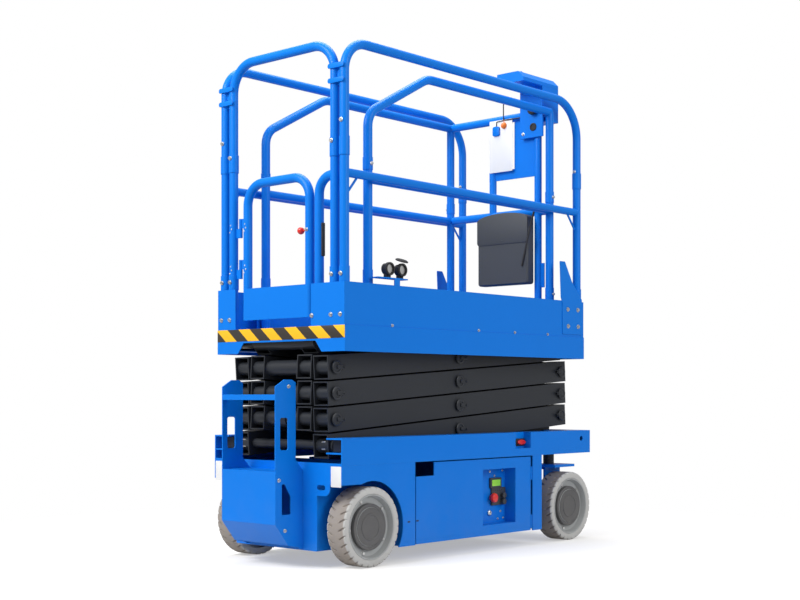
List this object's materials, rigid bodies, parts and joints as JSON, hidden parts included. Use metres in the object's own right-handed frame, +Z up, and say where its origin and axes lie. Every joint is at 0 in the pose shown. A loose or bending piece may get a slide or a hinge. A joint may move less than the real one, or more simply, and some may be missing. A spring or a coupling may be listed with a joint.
{
  "type": "narrow electric scissor lift",
  "caption": "Narrow self-propelled electric scissor lift with four folding levels, guard rails, a roll-out deck, an entry gate, a ladder and swing-out trays, stowed.",
  "frame": {"origin": "on the ground below the centre of the whole machine's box", "axes": "+X forward, towards the steered wheels; +Y to the machine's left; +Z up"},
  "size_m": [1.8595, 0.76, 2.202],
  "materials": {
    "machine_blue": "gloss enamel",
    "dark_enamel": "satin enamel",
    "grey_tyre": "matt non-marking rubber",
    "rim_grey": "satin enamel",
    "battery_case": "moulded",
    "bright_steel": "zinc plated",
    "chromed_rod": "hard chromed",
    "dark_plastic": "grained"
  },
  "bodies": {
    "chassis": {"chassis_frame": "machine_blue", "left_side_frame": "machine_blue", "right_side_frame": "machine_blue", "left_top_flange": "machine_blue", "right_top_flange": "machine_blue", "left_lamp_notch": "machine_blue", "right_lamp_notch": "machine_blue", "left_slide_track": "machine_blue", "right_slide_track": "machine_blue", "left_rear_skin": "machine_blue", "right_rear_skin": "machine_blue", "left_front_post": "machine_blue", "right_front_post": "machine_blue", "tail_frame": "machine_blue", "front_frame": "machine_blue", "kingpins": "dark_enamel", "entry_ladder": "machine_blue"},
    "rear_left_wheel": {"rear_left_tyre": "grey_tyre", "rear_left_rim": "rim_grey"},
    "rear_right_wheel": {"rear_right_tyre": "grey_tyre", "rear_right_rim": "rim_grey"},
    "front_left_wheel": {"front_left_tyre": "grey_tyre", "front_left_rim": "rim_grey"},
    "front_right_wheel": {"front_right_tyre": "grey_tyre", "front_right_rim": "rim_grey"},
    "left_knuckle": {"left_knuckle": "machine_blue"},
    "right_knuckle": {"right_knuckle": "machine_blue"},
    "tie_rod": {"tie_rod": "bright_steel"},
    "left_tray": {"left_tray": "machine_blue", "left_door": "machine_blue", "left_battery_pack": "battery_case"},
    "right_tray": {"right_tray": "machine_blue", "right_door": "machine_blue", "right_battery_pack": "battery_case", "ground_control_box": "machine_blue"},
    "lower_slide_blocks": {"lower_slide_blocks": "dark_enamel"},
    "upper_slide_blocks": {"upper_slide_blocks": "dark_enamel"},
    "lift_cylinder_barrel": {"lift_cylinder_barrel": "dark_enamel"},
    "lift_cylinder_rod": {"lift_cylinder_rod": "chromed_rod"},
    "platform": {"platform_deck": "machine_blue", "left_guard_rail": "machine_blue", "right_guard_rail": "machine_blue", "rear_hoop_rail": "machine_blue"},
    "extension": {"extension_deck": "machine_blue", "left_extension_rail": "machine_blue", "right_extension_rail": "machine_blue", "extension_front_rail": "machine_blue", "platform_control_box": "machine_blue", "document_box": "dark_plastic"},
    "entry_gate": {"entry_gate": "machine_blue"},
    "inner_arm_1": {"inner_arm_1": "dark_enamel"},
    "outer_arm_1": {"outer_arm_1": "dark_enamel", "base_shaft": "dark_enamel"},
    "inner_arm_2": {"inner_arm_2": "dark_enamel"},
    "outer_arm_2": {"outer_arm_2": "dark_enamel"},
    "inner_arm_3": {"inner_arm_3": "dark_enamel"},
    "outer_arm_3": {"outer_arm_3": "dark_enamel"},
    "inner_arm_4": {"inner_arm_4": "dark_enamel"},
    "outer_arm_4": {"outer_arm_4": "dark_enamel"}
  },
  "joints": [
    {"name": "rear_left_wheel_spin", "type": "hinge", "parent": "chassis", "child": "rear_left_wheel", "pos_m": [-0.61, 0.33, 0.1615], "axis": [0, 1, 0], "continuous": true},
    {"name": "steer_left", "type": "hinge", "parent": "chassis", "child": "left_knuckle", "pos_m": [0.768, 0.25, 0.1615], "axis": [0, 0, 1], "range_deg": [-65, 65]},
    {"name": "front_left_wheel_spin", "type": "hinge", "parent": "left_knuckle", "child": "front_left_wheel", "pos_m": [0.768, 0.33, 0.1615], "axis": [0, 1, 0], "continuous": true},
    {"name": "left_tray_swing", "type": "hinge", "parent": "chassis", "child": "left_tray", "pos_m": [0.459, 0.3755, 0.24], "axis": [0, 0, -1], "range_deg": [0, 90]},
    {"name": "rear_right_wheel_spin", "type": "hinge", "parent": "chassis", "child": "rear_right_wheel", "pos_m": [-0.61, -0.33, 0.1615], "axis": [0, 1, 0], "continuous": true},
    {"name": "steer_right", "type": "hinge", "parent": "chassis", "child": "right_knuckle", "pos_m": [0.768, -0.25, 0.1615], "axis": [0, 0, 1], "range_deg": [-65.2, 65.2]},
    {"name": "front_right_wheel_spin", "type": "hinge", "parent": "right_knuckle", "child": "front_right_wheel", "pos_m": [0.768, -0.33, 0.1615], "axis": [0, 1, 0], "continuous": true},
    {"name": "right_tray_swing", "type": "hinge", "parent": "chassis", "child": "right_tray", "pos_m": [0.459, -0.3755, 0.24], "axis": [0, 0, 1], "range_deg": [0, 90]},
    {"name": "tie_rod_pivot", "type": "hinge", "parent": "left_knuckle", "child": "tie_rod", "pos_m": [0.658, 0.25, 0.372], "axis": [0, 0, 1], "range_deg": [-65.2, 65.2]},
    {"name": "lift", "type": "hinge", "parent": "chassis", "child": "inner_arm_1", "pos_m": [0.828, 0, 0.4865], "axis": [0, 1, 0], "range_deg": [0, 54.4]},
    {"name": "outer_arm_1_fold", "type": "hinge", "parent": "inner_arm_1", "child": "outer_arm_1", "pos_m": [0.05652, 0, 0.53875], "axis": [0, 1, 0], "range_deg": [-108.85, 0.05]},
    {"name": "inner_arm_2_fold", "type": "hinge", "parent": "outer_arm_1", "child": "inner_arm_2", "pos_m": [0.828, 0, 0.591], "axis": [0, 1, 0], "range_deg": [-0.05, 108.85]},
    {"name": "outer_arm_2_fold", "type": "hinge", "parent": "inner_arm_2", "child": "outer_arm_2", "pos_m": [0.05652, 0, 0.64325], "axis": [0, 1, 0], "range_deg": [-108.85, 0.05]},
    {"name": "inner_arm_3_fold", "type": "hinge", "parent": "outer_arm_2", "child": "inner_arm_3", "pos_m": [0.828, 0, 0.6955], "axis": [0, 1, 0], "range_deg": [-0.05, 108.85]},
    {"name": "outer_arm_3_fold", "type": "hinge", "parent": "inner_arm_3", "child": "outer_arm_3", "pos_m": [0.05652, 0, 0.74775], "axis": [0, 1, 0], "range_deg": [-108.85, 0.05]},
    {"name": "inner_arm_4_fold", "type": "hinge", "parent": "outer_arm_3", "child": "inner_arm_4", "pos_m": [0.828, 0, 0.8], "axis": [0, 1, 0], "range_deg": [-0.05, 108.85]},
    {"name": "outer_arm_4_fold", "type": "hinge", "parent": "inner_arm_4", "child": "outer_arm_4", "pos_m": [0.05652, 0, 0.85225], "axis": [0, 1, 0], "range_deg": [-108.85, 0.05]},
    {"name": "lower_blocks_level", "type": "hinge", "parent": "outer_arm_1", "child": "lower_slide_blocks", "pos_m": [-0.71497, 0, 0.4865], "axis": [0, 1, 0], "range_deg": [-0.05, 54.45]},
    {"name": "upper_blocks_level", "type": "hinge", "parent": "inner_arm_4", "child": "upper_slide_blocks", "pos_m": [-0.71497, 0, 0.9045], "axis": [0, 1, 0], "range_deg": [-54.45, 0.05]},
    {"name": "platform_level", "type": "hinge", "parent": "outer_arm_4", "child": "platform", "pos_m": [0.828, 0, 0.9045], "axis": [0, 1, 0], "range_deg": [-0.05, 54.45]},
    {"name": "cylinder_swing", "type": "hinge", "parent": "inner_arm_1", "child": "lift_cylinder_barrel", "pos_m": [-0.71497, 0, 0.591], "axis": [0, 1, 0], "range_deg": [-116.25, 0.05]},
    {"name": "cylinder_stroke", "type": "slide", "parent": "lift_cylinder_barrel", "child": "lift_cylinder_rod", "axis": [0.9949, 0, 0.1011], "range_m": [-0.001, 0.4676]},
    {"name": "deck_extension", "type": "slide", "parent": "platform", "child": "extension", "axis": [1, 0, 0], "range_m": [0, 0.9]},
    {"name": "gate_swing", "type": "hinge", "parent": "platform", "child": "entry_gate", "pos_m": [-0.7427, 0.257, 1.2], "axis": [0, 0, 1], "range_deg": [0, 90]}
  ],
  "couplings": [
    {"joint": "steer_right", "follows": "steer_left", "ratio": 1},
    {"joint": "tie_rod_pivot", "follows": "steer_left", "ratio": -1},
    {"joint": "outer_arm_1_fold", "follows": "lift", "ratio": -2},
    {"joint": "inner_arm_2_fold", "follows": "lift", "ratio": 2},
    {"joint": "outer_arm_2_fold", "follows": "lift", "ratio": -2},
    {"joint": "inner_arm_3_fold", "follows": "lift", "ratio": 2},
    {"joint": "outer_arm_3_fold", "follows": "lift", "ratio": -2},
    {"joint": "inner_arm_4_fold", "follows": "lift", "ratio": 2},
    {"joint": "outer_arm_4_fold", "follows": "lift", "ratio": -2},
    {"joint": "lower_blocks_level", "follows": "lift", "ratio": 1},
    {"joint": "upper_blocks_level", "follows": "lift", "ratio": -1},
    {"joint": "platform_level", "follows": "lift", "ratio": 1},
    {"joint": "cylinder_swing", "follows": "lift", "ratio": -2.136},
    {"joint": "cylinder_stroke", "follows": "lift", "m_per_rad": 0.49143}
  ]
}
